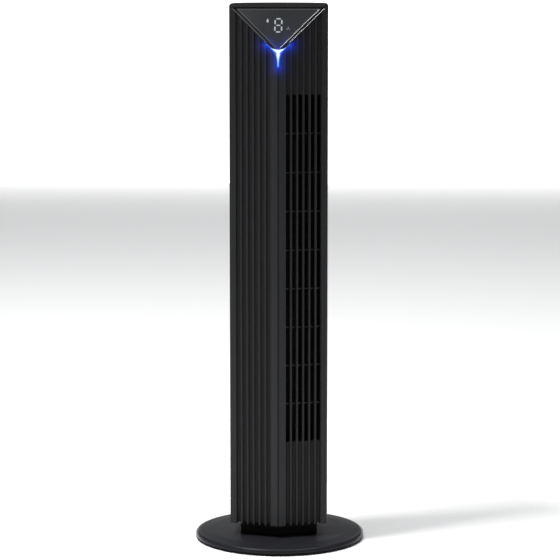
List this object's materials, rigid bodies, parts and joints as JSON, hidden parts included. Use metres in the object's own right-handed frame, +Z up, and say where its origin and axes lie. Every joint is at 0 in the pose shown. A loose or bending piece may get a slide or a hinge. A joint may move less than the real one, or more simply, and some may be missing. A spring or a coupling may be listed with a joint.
{
  "type": "tower fan",
  "caption": "Black swinging tower fan with a fluted wedge front, one slotted air outlet, a sloped triangular display and a round base.",
  "frame": {"origin": "centre of the underside of the base, on the axis that the tower swings about, at the height of the rubber feet's soles", "axes": "+Z up, the display and the air outlet face -Y, +X is on the right when the front is faced"},
  "size_m": [0.305, 0.305, 0.965],
  "materials": {
    "housing": "satin",
    "inner_plastic": "matte",
    "base_finish": "satin",
    "window": "gloss",
    "keys": "satin",
    "lamp": "satin",
    "steel": "satin",
    "iron": "matte",
    "bronze": "satin",
    "copper": "satin",
    "nylon": "satin",
    "rubber": "matte",
    "circuit": "satin"
  },
  "bodies": {
    "base": {"base_cover": "base_finish", "base_plate": "inner_plastic", "base_weight": "iron", "rubber_feet": "rubber", "base_screws": "steel", "swing_post": "steel", "post_screws": "steel", "fixed_gear": "nylon", "thrust_washer": "nylon", "retaining_washer": "steel", "post_circlip": "steel"},
    "tower": {"front_frame": "housing", "front_panel": "housing", "outlet_grille": "housing", "rear_cover": "housing", "top_cover": "housing", "display_rim": "housing", "tower_floor": "inner_plastic", "neck_shroud": "inner_plastic", "outlet_bars": "inner_plastic", "handle_cup": "inner_plastic", "lower_bulkhead": "inner_plastic", "upper_bulkhead": "inner_plastic", "scroll_wall": "inner_plastic", "vortex_tongue": "inner_plastic", "remote_receiver": "inner_plastic", "display_window": "window", "light_pipe": "lamp", "housing_screws": "steel", "motor_case": "steel", "motor_bracket": "steel", "motor_bolts": "steel", "swing_motor": "steel", "swing_motor_screws": "steel", "swing_bush": "bronze", "upper_bush": "bronze", "motor_stator": "copper", "run_capacitor": "nylon", "cord_gland": "rubber", "motor_mounts": "rubber", "bush_seat": "rubber", "display_board": "circuit", "lamp_board": "circuit", "key_board": "circuit", "main_board": "circuit"},
    "impeller": {"impeller_wheel": "inner_plastic", "drive_hub": "rubber", "motor_rotor": "steel", "motor_shaft": "steel", "stub_shaft": "steel"},
    "swing_drive": {"swing_pinion": "nylon", "pinion_shaft": "steel"},
    "button_1": {"key_1": "keys"},
    "button_2": {"key_2": "keys"},
    "button_3": {"key_3": "keys"},
    "button_4": {"key_4": "keys"},
    "button_5": {"key_5": "keys"}
  },
  "joints": [
    {"name": "swing", "type": "hinge", "parent": "base", "child": "tower", "pos_m": [0, 0, 0.04], "axis": [0, 0, 1], "range_deg": [-35, 35]},
    {"name": "spin", "type": "hinge", "parent": "tower", "child": "impeller", "pos_m": [-0.008, 0, 0.5], "axis": [0, 0, 1], "continuous": true},
    {"name": "pinion_turn", "type": "hinge", "parent": "tower", "child": "swing_drive", "pos_m": [0.039, 0, 0.0236], "axis": [0, 0, 1], "range_deg": [-117.2, 117.2]},
    {"name": "press_1", "type": "slide", "parent": "tower", "child": "button_1", "axis": [0, 0, -1], "range_m": [0, 0.001], "stiffness_N_per_m": 300, "springref_m": -0.001},
    {"name": "press_2", "type": "slide", "parent": "tower", "child": "button_2", "axis": [0, 0, -1], "range_m": [0, 0.001], "stiffness_N_per_m": 300, "springref_m": -0.001},
    {"name": "press_3", "type": "slide", "parent": "tower", "child": "button_3", "axis": [0, 0, -1], "range_m": [0, 0.001], "stiffness_N_per_m": 300, "springref_m": -0.001},
    {"name": "press_4", "type": "slide", "parent": "tower", "child": "button_4", "axis": [0, 0, -1], "range_m": [0, 0.001], "stiffness_N_per_m": 300, "springref_m": -0.001},
    {"name": "press_5", "type": "slide", "parent": "tower", "child": "button_5", "axis": [0, 0, -1], "range_m": [0, 0.001], "stiffness_N_per_m": 300, "springref_m": -0.001}
  ],
  "couplings": [
    {"joint": "pinion_turn", "follows": "swing", "ratio": 3.3333}
  ]
}
